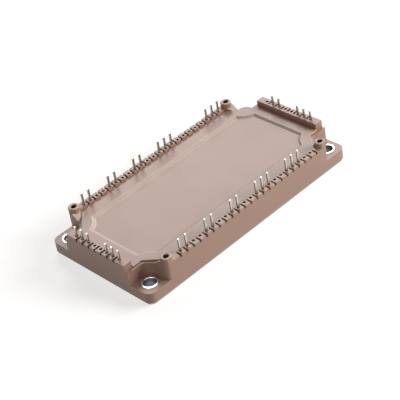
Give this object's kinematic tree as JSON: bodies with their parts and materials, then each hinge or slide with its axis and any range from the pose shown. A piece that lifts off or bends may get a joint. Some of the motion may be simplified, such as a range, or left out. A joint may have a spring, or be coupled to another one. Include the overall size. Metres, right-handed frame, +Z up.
{
  "type": "igbt module",
  "caption": "Flat power semiconductor module with solder pins along all sides, corner recesses with screw bushings and a metal base plate.",
  "frame": {"origin": "centre of the base plate's underside, which is the centre of the whole part's footprint", "axes": "+X along the package, +Y across it towards the rear pin row, +Z up along the solder pins"},
  "size_m": [0.122, 0.062, 0.0205],
  "materials": {
    "plastic": "moulded glass-filled polyester, dull, pale pinkish brown",
    "nickel_plated_copper": "copper with satin nickel plating",
    "steel": "zinc-plated, bright",
    "tinned_copper": "tin-plated copper, slightly dull",
    "copper": "bare copper bonded to ceramic",
    "ceramic": "white alumina",
    "silicon": "metallised silicon",
    "ribbon": "bright aluminium ribbon",
    "gel": "clear soft silicone gel"
  },
  "bodies": {
    "root": {"base_plate": "nickel_plated_copper", "housing_frame": "plastic", "lid": "plastic", "bushing_1": "steel", "bushing_2": "steel", "bushing_3": "steel", "bushing_4": "steel", "front_pin_1": "tinned_copper", "front_pin_2": "tinned_copper", "front_pin_3": "tinned_copper", "front_pin_4": "tinned_copper", "front_pin_5": "tinned_copper", "front_pin_6": "tinned_copper", "front_pin_7": "tinned_copper", "front_pin_8": "tinned_copper", "front_pin_9": "tinned_copper", "front_pin_10": "tinned_copper", "front_pin_11": "tinned_copper", "front_pin_12": "tinned_copper", "rear_pin_1": "tinned_copper", "rear_pin_2": "tinned_copper", "rear_pin_3": "tinned_copper", "rear_pin_4": "tinned_copper", "rear_pin_5": "tinned_copper", "rear_pin_6": "tinned_copper", "rear_pin_7": "tinned_copper", "rear_pin_8": "tinned_copper", "rear_pin_9": "tinned_copper", "rear_pin_10": "tinned_copper", "rear_pin_11": "tinned_copper", "rear_pin_12": "tinned_copper", "left_pin_1": "tinned_copper", "left_pin_2": "tinned_copper", "left_pin_3": "tinned_copper", "left_pin_4": "tinned_copper", "left_pin_5": "tinned_copper", "left_pin_6": "tinned_copper", "right_pin_1": "tinned_copper", "right_pin_2": "tinned_copper", "right_pin_3": "tinned_copper", "right_pin_4": "tinned_copper", "right_pin_5": "tinned_copper", "left_bottom_copper": "copper", "centre_bottom_copper": "copper", "right_bottom_copper": "copper", "left_ceramic": "ceramic", "centre_ceramic": "ceramic", "right_ceramic": "ceramic", "left_circuit_copper": "copper", "centre_circuit_copper": "copper", "right_circuit_copper": "copper", "igbt_chips": "silicon", "diode_chips": "silicon", "rectifier_chips": "silicon", "thermistor": "ceramic", "bond_ribbons": "ribbon", "silicone_gel": "gel"}
  },
  "joints": []
}
